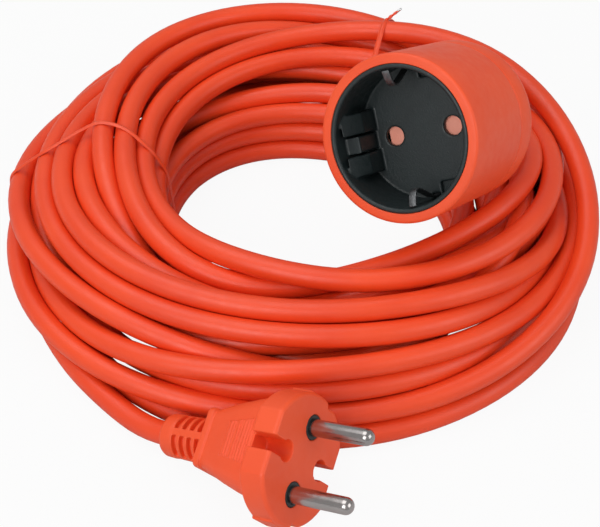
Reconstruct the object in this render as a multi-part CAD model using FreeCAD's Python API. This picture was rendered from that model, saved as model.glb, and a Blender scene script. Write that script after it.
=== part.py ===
import FreeCAD, Part
import math
import os

os.makedirs("parts", exist_ok=True)
V = FreeCAD.Vector
ORIGIN = V(0, 0, 0)
UP = V(0, 0, 1)

# Every size is in millimetres. The two fittings are drawn in frames of their own, with the
# axis along Z, and are then set down beside and on the pile of loops.

CORD_D = 7.0
CORD_R = CORD_D / 2
COIL_SIDES = 5
LEAD_SIDES = 12
LEAST_GAP = 0.4
OVER = 1.0

LOOP_INNER_R = 44.0
LOOP_OUTER_R = (89.3, 92.0, 92.0, 90.0)
LOOP_FRONT_DIP = (6.0, 10.0, 10.5, 16.0)
LOOP_SIDE_SWELL = 3.0
LAYER_TURNS = (4.5, 4.0, 4.0, 3.1944)
CLIMB_TURNS = 0.5
LAYER_Z = (2.5, 12.0, 20.4, 28.8)
COIL_START_DEG = -140.0
TIE_LIFT = 1.8
TIE_LIFT_DEG = 155.0
TIE_LIFT_HALF_DEG = 65.0

PIN_R = 2.4
PIN_PITCH = 19.0
PIN_LENGTH = 19.0
PIN_TIP = 2.0
PIN_TIP_SHOULDER = (0.86, 0.42)
PIN_TIP_FLAT_R = 0.8
PIN_ROOT_R = 2.0
PIN_NECK = 0.3
PIN_TAIL_R = 1.6
PIN_TAIL_SHORT = 1.0

DISC_R = 18.5
DISC_T = 8.0
DISC_FLAT = 16.2
DISC_CHAMFER = 0.8
LUG_X = 18.7
LUG_HALF = 4.0
LUG_STEP_X = 16.7
LUG_DEPTH = 6.0
LUG_FRONT = 2.0
LUG_ROOT = 2.0
KEY_Y = 9.0
KEY_R = 3.0
KEY_SLOT = 4.4
KEY_DEPTH = 8.8
GRIP_HALF = (14.6, 7.6)
GRIP_HALF_B = (13.2, 7.0)
GRIP_CORNER = (6.0, 2.2)
GRIP_END = 30.0
GRIP_ROOT = DISC_T - 1.0
FRAME_T = 2.0
FRAME_PROUD = 0.7
RIB_COUNT = 8
RIB_START = 1.9
RIB_NARROWING = 0.25
RIB_PITCH = 1.3
RIB_W = 0.6
RIB_PROUD = 0.35
RIB_HALF = 5.4
BRIDGE_BACK = 8.0
BRIDGE_FRONT = 2.0
COLLAR_R = 3.5
BRIDGE_HALF = (PIN_PITCH / 2 + COLLAR_R, 4.0)
COLLAR_ROOT = 0.5
CRIMP_R = 2.1
CRIMP_END = 13.0
CORE_R = 1.45
CORE_GAP_X = 1.7
JACKET_END = 27.5
CAVITY_HALF = (PIN_PITCH / 2 + CRIMP_R, 2.5)
CAVITY_THROAT = 4.0

RELIEF_R = (6.7, 6.2)
RELIEF_END = 46.5
RELIEF_COLLAR = 5.2
RELIEF_SLOTS = 4
RELIEF_SLOT_W = 1.7
RELIEF_CORE_R = 4.6
RELIEF_BAR = 1.6
RELIEF_CHAMFER = 0.9

SHELL_R = 24.5
SHELL_WALL = 3.0
SHELL_EDGE = 0.7
SHELL_GROOVE = 0.4
INSERT_WALL = 1.5
INSERT_R = SHELL_R - SHELL_WALL
INSERT_PROUD = 0.5
WELL_R = INSERT_R - INSERT_WALL
WELL_DEPTH = 17.5
FLOOR_T = 1.6
FLOOR_END = WELL_DEPTH + FLOOR_T
HOLE_R = 2.85
RIM_LINE = 0.7
BITE = 0.6
KEY_BLOCK_X = WELL_R - 4.6
KEY_BLOCK_HALF = 2.4
KEY_BLOCK_TOP = 6.0
WEDGE_Y = (3.1, 9.2)
WEDGE_X = WELL_R - 5.2
WEDGE_Z = (2.0, 9.5)
POCKET_X = (2.1, 7.6)
POCKET_Y = WELL_R - 4.4
STRIP_HALF = 1.95
STRIP_TOP = 1.6
STRIP_T = 0.9
STRIP_BUMP = 1.4
STRIP_BUMP_Z = (2.8, 6.0, 10.0, 13.0)
STRIP_LEG = 7.0
STRIP_END = FLOOR_END + STRIP_LEG
CARRIER_T = 18.4
CARRIER_END = FLOOR_END + CARRIER_T
RECESS_R = 14.0
BOSS_R = 2.0
RUNNING_GAP = 0.05
SHUTTER_GAP = 0.2
SHUTTER_T = 1.6
SHUTTER_DISC_R = 3.1
SHUTTER_ARM = 2.0
SHUTTER_HUB_R = 3.6
SHUTTER_FLAT = 2.35
SHUTTER_SWING = 36.0
STOP_X = (5.0, 7.0)
STOP_W = 1.2
STOP_PROUD = 0.3
RECESS_T = SHUTTER_GAP + SHUTTER_T + STOP_PROUD
SPRING_T = 0.35
SPRING_W = 1.2
SPRING_FOOT = 4.6
SPRING_BEND = (-0.3, 8.6)
SPRING_REST = ((5.8, 12.4), (6.0, 12.0), (6.9, 12.15))
CONTACT_R = 3.2
CONTACT_SLOT = 1.0
CONTACT_PLATE = 1.0
CONTACT_PLATE_HALF = 2.4
CONTACT_PLATE_INNER = 2.2
CONTACT_ROOT = 4.0
CONTACT_CRIMP_X = 5.5
CONTACT_CRIMP_R = 1.9
CONTACT_CRIMP_END = CARRIER_END + 4.5
CAP_END = CARRIER_END + 3.0
SHELL_GROOVE_Z = CAP_END - 7.5
SHELL_END = CAP_END + 8.5
SHELL_DOME = ((SHELL_R - 1.0, SHELL_END - 5.8), (SHELL_R - 4.9, SHELL_END - 2.4),
              (SHELL_R - 11.1, SHELL_END - 0.4), (8.6, SHELL_END))
SHELL_JACKET_END = SHELL_END - 1.5
SHELL_CAVITY_R = 9.0
SHELL_RELIEF_LENGTH = 9.0
SHELL_RELIEF_END = SHELL_END + SHELL_RELIEF_LENGTH
SHELL_RELIEF_R = (7.6, 6.2)
SHELL_RELIEF_GROOVES = 3
SHELL_RELIEF_GROOVE_W = 1.0
SHELL_RELIEF_GROOVE_R = 5.0
SHELL_RELIEF_GROOVE_AT = 0.6

TIE_T = 0.8
TIE_W = 3.4
TIE_GAP = 0.35
TIE_FLOOR = 0.0
TIE_LEFT_DEG = 172.0
TIE_TOP_DEG = 70.0
TIE_TAIL = 4.0
TIE_TAIL_BEND = 2.4
TIE_TAIL_LEAN = 2.0
TIE_TAIL_ROOT = 1.2
TIE_TAIL_WIDTH = 0.7
TIE_TAIL_AT = 0.9
TIE_FACETS = 16
TIE_WIRE_R = 0.4
TIE_WIRE_OUT = 1.6
TIE_SIDE_TAIL = (5.0, 1.6)
TIE_SIDE_TAIL_Z = (LAYER_Z[1] + LAYER_Z[2]) / 2

PLUG_FACE = (0.3, -109.0, 22.2)
PLUG_AXIS = V(0.819, -0.466, 0.331)
PLUG_PINS = V(0.27, 0.852, 0.448)
SOCKET_FACE = (26.8, -32.6, 71.3)
SOCKET_AXIS = V(0.487, 0.759, -0.432)
SOCKET_PINS = V(0.847, -0.290, 0.445)
PLUG_LEAD_OUT = 9.0
SOCKET_LEAD_OUT = 9.0
SOCKET_ROUTE = ((61.3, 37.5, 38.0), (54.5, 53.5, 37.6), (39.5, 69.0, 37.5), (20.0, 80.3, 36.8),
                (-2.5, 86.0, 34.8), (-25.5, 84.5, 32.0), (-47.5, 76.5, 30.2), (-66.5, 62.0, 29.3))


def cylinder(r, z0, z1, x=0.0, y=0.0):
    return Part.makeCylinder(r, z1 - z0, V(x, y, z0), UP)


def box(x0, x1, y0, y1, z0, z1):
    return Part.makeBox(x1 - x0, y1 - y0, z1 - z0, V(x0, y0, z0))


def turned(profile):
    """Solid of revolution about Z from a closed run of (r, z) points."""
    points = [V(r, 0, z) for r, z in profile]
    face = Part.Face(Part.makePolygon(points + points[:1]))
    return face.revolve(ORIGIN, UP, 360)


def slab(points, axis, low, high):
    """Prism of a closed polygon, drawn in the plane across the named axis."""
    lay = {"x": lambda p: V(low, p[0], p[1]), "y": lambda p: V(p[0], low, p[1]),
           "z": lambda p: V(p[0], p[1], low)}[axis]
    along = {"x": V(high - low, 0, 0), "y": V(0, high - low, 0), "z": V(0, 0, high - low)}[axis]
    corners = [lay(p) for p in points]
    return Part.Face(Part.makePolygon(corners + corners[:1])).extrude(along)


def octagon(half_x, half_y, corner, z):
    cx, cy = half_x - corner, half_y - corner
    ring = [(half_x, cy), (cx, half_y), (-cx, half_y), (-half_x, cy),
            (-half_x, -cy), (-cx, -half_y), (cx, -half_y), (half_x, -cy)]
    points = [V(x, y, z) for x, y in ring]
    return Part.makePolygon(points + points[:1])


def joined(shapes):
    return shapes[0].multiFuse(shapes[1:]).removeSplitter()


def less(shape, tools):
    return shape.cut(tools)


def mix(a, b, share):
    return a + (b - a) * share


def smooth(share):
    share = min(max(share, 0.0), 1.0)
    return share * share * (3 - 2 * share)


def placement(face, axis, pins):
    """Frame of a fitting: Z along its axis, X along the line of its two pins."""
    z = V(axis).normalize()
    y = z.cross(pins).normalize()
    x = y.cross(z)
    return FreeCAD.Placement(V(*face), FreeCAD.Rotation(x, y, z, "ZXY"))


# Cord: section, straight runs with tangent arcs, and the wound loops.

def section(at, along, sides):
    side = along.cross(UP).normalize()
    rise = side.cross(along).normalize()
    turn = -math.pi / 2 + math.pi / sides
    points = []
    for i in range(sides):
        a = turn + 2 * math.pi * i / sides
        points.append(at + side * (CORD_R * math.cos(a)) + rise * (CORD_R * math.sin(a)))
    return Part.Wire(Part.makePolygon(points + points[:1]))


def sweep(wire, profile):
    pipe = Part.BRepOffsetAPI.MakePipeShell(wire)
    pipe.add(profile)
    pipe.build()
    pipe.makeSolid()
    return pipe.shape()


def rounded_run(points):
    """Straight runs joined by tangent arcs, and the least radius of those arcs."""
    edges = []
    at = points[0]
    least = None
    for before, here, after in zip(points, points[1:], points[2:]):
        u = (here - before).normalize()
        w = (after - here).normalize()
        half = u.getAngle(w) / 2
        reach = 0.45 * min((here - before).Length, (after - here).Length)
        radius = reach / math.tan(half)
        least = radius if least is None else min(least, radius)
        inward = (w - u).normalize()
        middle = here + inward * (radius / math.cos(half) - radius)
        edges.append(Part.LineSegment(at, here - u * reach).toShape())
        edges.append(Part.Arc(here - u * reach, middle, here + w * reach).toShape())
        at = here + w * reach
    edges.append(Part.LineSegment(at, points[-1]).toShape())
    return Part.Wire(edges), least


def lead(name, points):
    wire, least = rounded_run(points)
    solid = sweep(wire, section(points[0], (points[1] - points[0]).normalize(), LEAD_SIDES))
    area = 0.5 * LEAD_SIDES * CORD_R ** 2 * math.sin(2 * math.pi / LEAD_SIDES)
    print(name, "length", round(wire.Length, 1), "least bend radius", round(least, 1),
          "volume over section x length", round(solid.Volume / (area * wire.Length), 4))
    return solid, wire


def core(start, end):
    """Slanted round core, cut off square to Z at both ends."""
    ring = Part.Wire(Part.makeCircle(CORE_R, start, UP))
    return Part.Face(ring).extrude(end - start)


def loop_outer(index, angle):
    front = ((1 - math.sin(angle)) / 2) ** 2
    return LOOP_OUTER_R[index] + LOOP_SIDE_SWELL * math.cos(angle) ** 2 - LOOP_FRONT_DIP[index] * front


def tie_lift(angle):
    edge = math.cos(math.radians(TIE_LIFT_HALF_DEG))
    share = (math.cos(angle - math.radians(TIE_LIFT_DEG)) / edge + 1) / 2
    return TIE_LIFT * smooth(share)


def coil_turns():
    return sum(LAYER_TURNS) + CLIMB_TURNS * (len(LAYER_TURNS) - 1)


def coil_point(turn):
    angle = math.radians(COIL_START_DEG - 360.0 * turn)
    index = 0
    while index < len(LAYER_TURNS) - 1 and turn > LAYER_TURNS[index] + CLIMB_TURNS:
        turn -= LAYER_TURNS[index] + CLIMB_TURNS
        index += 1
    after = min(index + 1, len(LAYER_TURNS) - 1)
    share = min(turn / LAYER_TURNS[index], 1.0)
    climb = smooth((turn - LAYER_TURNS[index]) / CLIMB_TURNS)
    outer = mix(loop_outer(index, angle), loop_outer(after, angle), climb)
    out = share if index % 2 else 1.0 - share
    r = mix(LOOP_INNER_R, outer, out)
    lift = tie_lift(angle) * (1.0 - climb) if index == 0 else 0.0
    return V(r * math.cos(angle), r * math.sin(angle), mix(LAYER_Z[index], LAYER_Z[after], climb) + lift)


def coil_tangent(turn, step=1e-4):
    low = max(turn - step, 0.0)
    high = min(turn + step, coil_turns())
    return (coil_point(high) - coil_point(low)).normalize()


def arc_from(start, along, end):
    chord = end - start
    across = chord.cross(along).cross(along)
    if across.Length < 1e-7:
        return Part.LineSegment(start, end)
    across.normalize()
    if across.dot(chord) < 0:
        across = across * -1
    radius = chord.dot(chord) / (2 * across.dot(chord))
    centre = start + across * radius
    middle = ((start + end) * 0.5 - centre).normalize()
    return Part.Arc(start, centre + middle * radius, end)


def biarc(p0, t0, p1, t1):
    chord = p1 - p0
    both = chord.dot(t0 + t1)
    bend = 2 * (1 - t0.dot(t1))
    if bend < 1e-12:
        reach = chord.dot(chord) / (4 * chord.dot(t1))
    else:
        reach = (-both + math.sqrt(both * both + bend * chord.dot(chord))) / bend
    q0 = p0 + t0 * reach
    q1 = p1 - t1 * reach
    middle = (q0 + q1) * 0.5
    return [arc_from(p0, t0, middle), arc_from(middle, (q1 - q0).normalize(), p1)]


def coil_wire(start_along, end_along):
    """Centre line of the loops, with a straight end of one diameter along each given direction."""
    total = coil_turns()
    first = ((COIL_START_DEG + 720.0) % 90.0) / 360.0
    stops = [0.0]
    turn = first
    while turn < total - 0.02:
        if turn > 0.02:
            stops.append(turn)
        turn += 0.25
    stops.append(total)
    tangents = [coil_tangent(stop) for stop in stops]
    tangents[0] = start_along
    tangents[-1] = end_along
    edges = [Part.LineSegment(coil_point(0) - start_along * CORD_D, coil_point(0))]
    for a, b, ta, tb in zip(stops, stops[1:], tangents, tangents[1:]):
        edges += biarc(coil_point(a), ta, coil_point(b), tb)
    end = coil_point(total)
    edges.append(Part.LineSegment(end, end + end_along * CORD_D))
    return Part.Wire([e.toShape() for e in edges])


def least_spacing(wire, step=3.0):
    """Least distance between centre lines more than a third of a loop apart along the wire."""
    points = wire.discretize(Distance=step)
    apart = int(2 * math.pi * LOOP_INNER_R / 3 / step)
    cells = {}
    size = 3 * CORD_D
    for i, p in enumerate(points[:-1]):
        key = (int(p.x // size), int(p.y // size), int(p.z // size))
        cells.setdefault(key, []).append(i)
    least = 1e9
    for i, p in enumerate(points):
        kx, ky, kz = int(p.x // size), int(p.y // size), int(p.z // size)
        for dx in (-1, 0, 1):
            for dy in (-1, 0, 1):
                for dz in (-1, 0, 1):
                    for j in cells.get((kx + dx, ky + dy, kz + dz), ()):
                        if abs(i - j) > apart:
                            a, b = points[j], points[j + 1]
                            ab = b - a
                            share = min(max((p - a).dot(ab) / ab.dot(ab), 0.0), 1.0)
                            least = min(least, (p - a - ab * share).Length)
    return least


def cord_coil(start_along, end_along):
    wire = coil_wire(start_along, end_along)
    start = wire.Edges[0]
    p = start.Vertexes[0].Point
    along = (start.Vertexes[-1].Point - p).normalize()
    solid = sweep(wire, section(p, along, COIL_SIDES))
    area = 0.5 * COIL_SIDES * CORD_R ** 2 * math.sin(2 * math.pi / COIL_SIDES)
    print("coil turns", round(coil_turns(), 2), "length", round(wire.Length, 1),
          "volume over section x length", round(solid.Volume / (area * wire.Length), 4),
          "least gap", round(least_spacing(wire) - CORD_D, 2), "wanted over", LEAST_GAP)
    reach = 2 * max(LOOP_OUTER_R)
    under = box(-reach, reach, -reach, reach, -CORD_D, 0.0)
    return less(solid, [under]), wire


# Plug: local frame with the face at Z 0, the body below it and the pins above it.

def plug_disc():
    rim = turned([(0, 0), (DISC_R - DISC_CHAMFER, 0), (DISC_R, -DISC_CHAMFER), (DISC_R, -DISC_T), (0, -DISC_T)])
    cut = DISC_FLAT - DISC_CHAMFER
    flats = slab([(-cut, 0), (-DISC_FLAT, -DISC_CHAMFER), (-DISC_FLAT, -DISC_T), (DISC_FLAT, -DISC_T),
                  (DISC_FLAT, -DISC_CHAMFER), (cut, 0)], "x", -DISC_R - OVER, DISC_R + OVER)
    disc = rim.common(flats)
    steps = []
    lugs = []
    for sign in (1, -1):
        low, high = sorted((sign * LUG_STEP_X, sign * (DISC_R + OVER)))
        steps.append(box(low, high, -DISC_FLAT, -LUG_HALF, -DISC_T - OVER, OVER))
        low, high = sorted((sign * (LUG_STEP_X - LUG_ROOT), sign * LUG_X))
        lugs.append(box(low, high, -LUG_HALF, LUG_HALF, -LUG_DEPTH - LUG_FRONT, -LUG_FRONT))
    return joined([less(disc, steps)] + lugs)


def plug_grip():
    a = octagon(GRIP_HALF[0], GRIP_HALF_B[0], GRIP_CORNER[0], -GRIP_ROOT)
    b = octagon(GRIP_HALF[1], GRIP_HALF_B[1], GRIP_CORNER[1], -GRIP_END)
    parts = [Part.makeLoft([a, b], True, True)]
    proud = FRAME_PROUD
    c = octagon(GRIP_HALF[1] + proud, GRIP_HALF_B[1] + proud, GRIP_CORNER[1], -GRIP_END + FRAME_T)
    d = octagon(GRIP_HALF[1] + proud, GRIP_HALF_B[1] + proud, GRIP_CORNER[1], -GRIP_END)
    parts.append(Part.makeLoft([c, d], True, True))
    span = GRIP_END - GRIP_ROOT
    slope = (GRIP_HALF_B[0] - GRIP_HALF_B[1]) / span
    for i in range(RIB_COUNT):
        z = -DISC_T - RIB_START - i * RIB_PITCH
        y = GRIP_HALF_B[0] + (z + GRIP_ROOT) * slope + RIB_PROUD
        half = RIB_HALF * (1 - RIB_NARROWING * i / RIB_COUNT)
        parts.append(box(-half, half, -y, y, z - RIB_W, z))
    return joined(parts)


def keyholes():
    tools = []
    for sign in (1, -1):
        tools.append(cylinder(KEY_R, -KEY_DEPTH, OVER, 0, sign * KEY_Y))
        low, high = sorted((sign * KEY_Y, sign * (DISC_R + OVER)))
        tools.append(box(-KEY_SLOT / 2, KEY_SLOT / 2, low, high, -KEY_DEPTH, OVER))
    return tools


def plug_parts():
    half_x, half_y = BRIDGE_HALF
    bridge = box(-half_x, half_x, -half_y, half_y, -BRIDGE_BACK, -BRIDGE_FRONT)
    collars = [cylinder(COLLAR_R, -BRIDGE_FRONT - COLLAR_ROOT, 0, s * PIN_PITCH / 2) for s in (1, -1)]
    bridge = joined([bridge] + collars)
    cavity_x, cavity_y = CAVITY_HALF
    cavity = slab([(-cavity_x, -BRIDGE_BACK), (cavity_x, -BRIDGE_BACK), (cavity_x, -CRIMP_END),
                   (CAVITY_THROAT, -JACKET_END), (-CAVITY_THROAT, -JACKET_END), (-cavity_x, -CRIMP_END)],
                  "y", -cavity_y, cavity_y)
    bore = cylinder(CORD_R, -GRIP_END - OVER, -JACKET_END)
    parts = {}
    body = joined([plug_disc(), plug_grip()])
    parts["plug_body"] = less(body, keyholes() + [bridge, cavity, bore])
    pins = []
    tail = -CRIMP_END + PIN_TAIL_SHORT
    shoulder = (PIN_R * PIN_TIP_SHOULDER[0], PIN_LENGTH - PIN_TIP * PIN_TIP_SHOULDER[1])
    for side, sign in (("a", 1), ("b", -1)):
        x = sign * PIN_PITCH / 2
        pin = turned([(0, tail), (PIN_TAIL_R, tail), (PIN_TAIL_R, -BRIDGE_BACK), (PIN_ROOT_R, -BRIDGE_BACK),
                      (PIN_ROOT_R, PIN_NECK), (PIN_R, PIN_NECK), (PIN_R, PIN_LENGTH - PIN_TIP), shoulder,
                      (PIN_TIP_FLAT_R, PIN_LENGTH), (0, PIN_LENGTH)])
        pin.translate(V(x, 0, 0))
        pins.append(pin)
        parts["plug_pin_" + side] = pin
        crimp = cylinder(CRIMP_R, -CRIMP_END, -BRIDGE_BACK, x)
        parts["plug_crimp_" + side] = less(crimp, [pin])
        parts["plug_core_" + side] = core(V(x, 0, -CRIMP_END), V(sign * CORE_GAP_X, 0, -JACKET_END))
    parts["plug_bridge"] = less(bridge, pins)
    parts["plug_strain_relief"] = plug_relief()
    return parts


def plug_relief():
    top, tail = RELIEF_R
    outer = turned([(0, -GRIP_END), (top, -GRIP_END), (tail, -RELIEF_END + RELIEF_COLLAR),
                    (tail, -RELIEF_END + RELIEF_CHAMFER), (tail - RELIEF_CHAMFER, -RELIEF_END),
                    (0, -RELIEF_END)])
    span = RELIEF_END - RELIEF_COLLAR - GRIP_END
    pitch = span / RELIEF_SLOTS
    far = top + OVER
    slots = []
    for i in range(RELIEF_SLOTS):
        z = -GRIP_END - (i + 1) * pitch
        ring = cylinder(far, z, z + RELIEF_SLOT_W).cut(cylinder(RELIEF_CORE_R, z, z + RELIEF_SLOT_W))
        bars = [box(-far, far, -RELIEF_BAR / 2, RELIEF_BAR / 2, z, z + RELIEF_SLOT_W),
                box(-RELIEF_BAR / 2, RELIEF_BAR / 2, -far, far, z, z + RELIEF_SLOT_W)]
        slots.append(less(ring, bars))
    return less(outer, slots + [cylinder(CORD_R, -RELIEF_END - OVER, -GRIP_END + OVER)])


# Socket: local frame with the mouth at Z 0 and the body above it.

def insert_blocks():
    blocks = []
    for sign in (1, -1):
        low, high = sorted((sign * KEY_BLOCK_X, sign * (WELL_R + BITE)))
        blocks.append(box(low, high, -KEY_BLOCK_HALF, KEY_BLOCK_HALF, KEY_BLOCK_TOP, WELL_DEPTH))
        for side in (1, -1):
            y0, y1 = sorted((side * WEDGE_Y[0], side * WEDGE_Y[1]))
            wall = math.sqrt((WELL_R + BITE) ** 2 - WEDGE_Y[1] ** 2)
            blocks.append(slab([(sign * WEDGE_X, WEDGE_Z[1]), (sign * WEDGE_X, WELL_DEPTH),
                                (sign * wall, WELL_DEPTH), (sign * wall, WEDGE_Z[0])], "y", y0, y1))
    return blocks


def strip(sign):
    """Earth strip from the mouth to its leg in the carrier, with a bump towards the middle."""
    flat = WELL_R - STRIP_T
    bump = flat - STRIP_BUMP
    z0, z1, z2, z3 = STRIP_BUMP_Z
    profile = [(sign * WELL_R, STRIP_TOP), (sign * WELL_R, STRIP_END), (sign * flat, STRIP_END),
               (sign * flat, z3), (sign * bump, z2), (sign * bump, z1), (sign * flat, z0), (sign * flat, STRIP_TOP)]
    return slab(profile, "x", -STRIP_HALF, STRIP_HALF)


def shutter():
    z0 = FLOOR_END + SHUTTER_GAP
    z1 = z0 + SHUTTER_T
    half = PIN_PITCH / 2
    plate = [box(-half, half, -SHUTTER_ARM, SHUTTER_ARM, z0, z1), cylinder(SHUTTER_HUB_R, z0, z1)]
    plate += [cylinder(SHUTTER_DISC_R, z0, z1, s * half) for s in (1, -1)]
    flat = box(-half - 2 * SHUTTER_DISC_R, -half - SHUTTER_FLAT, -2 * SHUTTER_ARM, 2 * SHUTTER_ARM,
               z0 - OVER, z1 + OVER)
    return less(joined(plate), [cylinder(BOSS_R + RUNNING_GAP, z0 - OVER, z1 + OVER), flat])


def shutter_spring():
    z0 = FLOOR_END + SHUTTER_GAP + (SHUTTER_T - SPRING_W) / 2
    width = 2 * SPRING_T
    bend_x, bend_y = SPRING_BEND
    rest, inner, tip = SPRING_REST
    leaf = [(SPRING_FOOT, SHUTTER_ARM), (SPRING_FOOT + width, SHUTTER_ARM), (bend_x + 2 * width, bend_y), inner,
            (tip[0], inner[1]), tip, rest, SPRING_BEND]
    return slab(leaf, "z", z0, z0 + SPRING_W)


def contact(sign):
    x = sign * PIN_PITCH / 2
    z0 = FLOOR_END + RECESS_T
    tube = cylinder(CONTACT_R, z0, CARRIER_END, x)
    slot = box(x - CONTACT_R, x + CONTACT_R, -CONTACT_SLOT / 2, CONTACT_SLOT / 2,
               z0 - OVER, CARRIER_END - CONTACT_ROOT)
    tube = less(tube, [cylinder(PIN_R, z0 - OVER, CARRIER_END, x), slot])
    plate = contact_plate(sign)
    barrel = cylinder(CONTACT_CRIMP_R, CARRIER_END, CONTACT_CRIMP_END, sign * CONTACT_CRIMP_X)
    return joined([tube, plate, barrel])


def contact_plate(sign):
    low, high = sorted((sign * (CONTACT_CRIMP_X - CONTACT_PLATE_INNER), sign * (PIN_PITCH / 2 + CONTACT_R)))
    return box(low, high, -CONTACT_PLATE_HALF, CONTACT_PLATE_HALF, CARRIER_END, CARRIER_END + CONTACT_PLATE)


def carrier():
    floor = FLOOR_END
    block = cylinder(INSERT_R, floor, CARRIER_END)
    boss = cylinder(BOSS_R, floor - OVER, floor + RECESS_T)
    recess = less(cylinder(RECESS_R, floor - OVER, floor + RECESS_T), [boss])
    tools = [recess] + [cylinder(CONTACT_R, floor, CARRIER_END + OVER, s * PIN_PITCH / 2) for s in (1, -1)]
    tools += [strip(1), strip(-1)]
    body = less(block, tools)
    top = floor + RECESS_T
    closed = box(STOP_X[0], STOP_X[1], -SHUTTER_ARM - STOP_W, -SHUTTER_ARM, floor, top)
    opened = box(-STOP_X[1], -STOP_X[0], -SHUTTER_ARM - STOP_W, -SHUTTER_ARM - RUNNING_GAP, floor, top)
    opened.rotate(ORIGIN, UP, SHUTTER_SWING)
    return joined([body, closed, opened])


def socket_parts():
    floor = FLOOR_END
    parts = {}
    parts["socket_shell"] = turned([(INSERT_R, 0), (SHELL_R - SHELL_EDGE, 0), (SHELL_R, SHELL_EDGE),
                                    (SHELL_R, SHELL_GROOVE_Z), (SHELL_R - SHELL_GROOVE, SHELL_GROOVE_Z + SHELL_GROOVE),
                                    (SHELL_R, SHELL_GROOVE_Z + 2 * SHELL_GROOVE), (SHELL_R, CAP_END),
                                    (INSERT_R, CAP_END)])
    dome = turned([(0, CAP_END), (SHELL_R, CAP_END)] + list(SHELL_DOME) + [(0, SHELL_END)])
    cavity = Part.makeCone(SHELL_CAVITY_R, CORD_R, SHELL_JACKET_END - CAP_END, V(0, 0, CAP_END), UP)
    parts["socket_dome"] = less(dome, [cavity, cylinder(CORD_R, SHELL_JACKET_END, SHELL_END + OVER)])
    wall = turned([(WELL_R, -INSERT_PROUD + RIM_LINE), (WELL_R + RIM_LINE, -INSERT_PROUD), (INSERT_R, -INSERT_PROUD),
                   (INSERT_R, WELL_DEPTH), (WELL_R, WELL_DEPTH)])
    rim = cylinder(INSERT_R, 0, WELL_DEPTH)
    wall = joined([wall] + [b.common(rim) for b in insert_blocks()])
    strips = [strip(1), strip(-1)]
    holes = [cylinder(HOLE_R, WELL_DEPTH - OVER, floor + OVER, s * PIN_PITCH / 2) for s in (1, -1)]
    pockets = []
    for sx in (1, -1):
        for sy in (1, -1):
            x0, x1 = sorted((sx * POCKET_X[0], sx * POCKET_X[1]))
            y0, y1 = sorted((sy * POCKET_Y, sy * (WELL_R + OVER)))
            pocket = box(x0, x1, y0, y1, WELL_DEPTH - OVER, floor + OVER)
            pockets.append(pocket.common(cylinder(WELL_R, 0, floor + OVER)))
    parts["socket_insert"] = less(wall, strips)
    parts["socket_floor"] = less(cylinder(INSERT_R, WELL_DEPTH, floor), strips + holes + pockets)
    parts["socket_strip_top"] = strips[1]
    parts["socket_strip_bottom"] = strips[0]
    parts["socket_shutter"] = shutter()
    parts["socket_shutter_spring"] = shutter_spring()
    parts["socket_carrier"] = carrier()
    cap = cylinder(INSERT_R, CARRIER_END, CAP_END)
    barrels = []
    for side, sign in (("a", 1), ("b", -1)):
        parts["socket_contact_" + side] = contact(sign)
        barrels.append(cylinder(CONTACT_CRIMP_R, CARRIER_END, CAP_END + OVER, sign * CONTACT_CRIMP_X))
        barrels.append(contact_plate(sign))
        x = sign * CONTACT_CRIMP_X
        parts["socket_core_" + side] = core(V(x, 0, CONTACT_CRIMP_END), V(sign * CORE_GAP_X, 0, SHELL_JACKET_END))
    parts["socket_cap"] = less(cap, barrels)
    parts["socket_strain_relief"] = socket_relief()
    return parts


def socket_relief():
    top, tail = SHELL_RELIEF_R
    length = SHELL_RELIEF_LENGTH
    profile = [(0, SHELL_END), (top, SHELL_END)]
    pitch = length / (SHELL_RELIEF_GROOVES + 1)
    for i in range(SHELL_RELIEF_GROOVES):
        z = SHELL_END + pitch * (i + SHELL_RELIEF_GROOVE_AT)
        z1 = z + SHELL_RELIEF_GROOVE_W
        r = mix(top, tail, (z - SHELL_END) / length)
        profile += [(r, z), (SHELL_RELIEF_GROOVE_R, z), (SHELL_RELIEF_GROOVE_R, z1), (r, z1)]
    profile += [(tail, SHELL_RELIEF_END - RELIEF_CHAMFER), (tail - RELIEF_CHAMFER, SHELL_RELIEF_END),
                (0, SHELL_RELIEF_END)]
    return less(turned(profile), [cylinder(CORD_R, SHELL_END - OVER, SHELL_RELIEF_END + OVER)])


# Ties: a flat strip round the whole bundle, drawn in the upright plane through the pile's axis.

def crossings(degrees, wires):
    """Where centre lines pass through the half plane at an angle, as (distance out, height)."""
    angle = math.radians(degrees)
    out = V(math.cos(angle), math.sin(angle), 0)
    across = V(-math.sin(angle), math.cos(angle), 0)
    found = []
    for wire in wires:
        points = wire.discretize(Distance=2.0)
        for a, b in zip(points, points[1:]):
            da, db = a.dot(across), b.dot(across)
            if da * db <= 0 and a.dot(out) > 0 and da != db:
                p = a + (b - a) * (da / (da - db))
                found.append((p.dot(out), p.z))
    return found


def hull(points):
    points = sorted(set(points))

    def half(run):
        kept = []
        for p in run:
            while len(kept) > 1:
                (ax, ay), (bx, by) = kept[-2], kept[-1]
                if (bx - ax) * (p[1] - ay) - (by - ay) * (p[0] - ax) > 1e-6:
                    break
                kept.pop()
            kept.append(p)
        return kept[:-1]

    return half(points) + half(points[::-1])


def tie_ring(found, radius, lowest):
    reach = radius / math.cos(math.pi / TIE_FACETS)
    cloud = []
    for r, z in found:
        for i in range(TIE_FACETS):
            a = 2 * math.pi * (i + 0.5) / TIE_FACETS
            cloud.append((round(r + reach * math.cos(a), 3), round(max(z + reach * math.sin(a), lowest), 3)))
    return hull(cloud)


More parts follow.
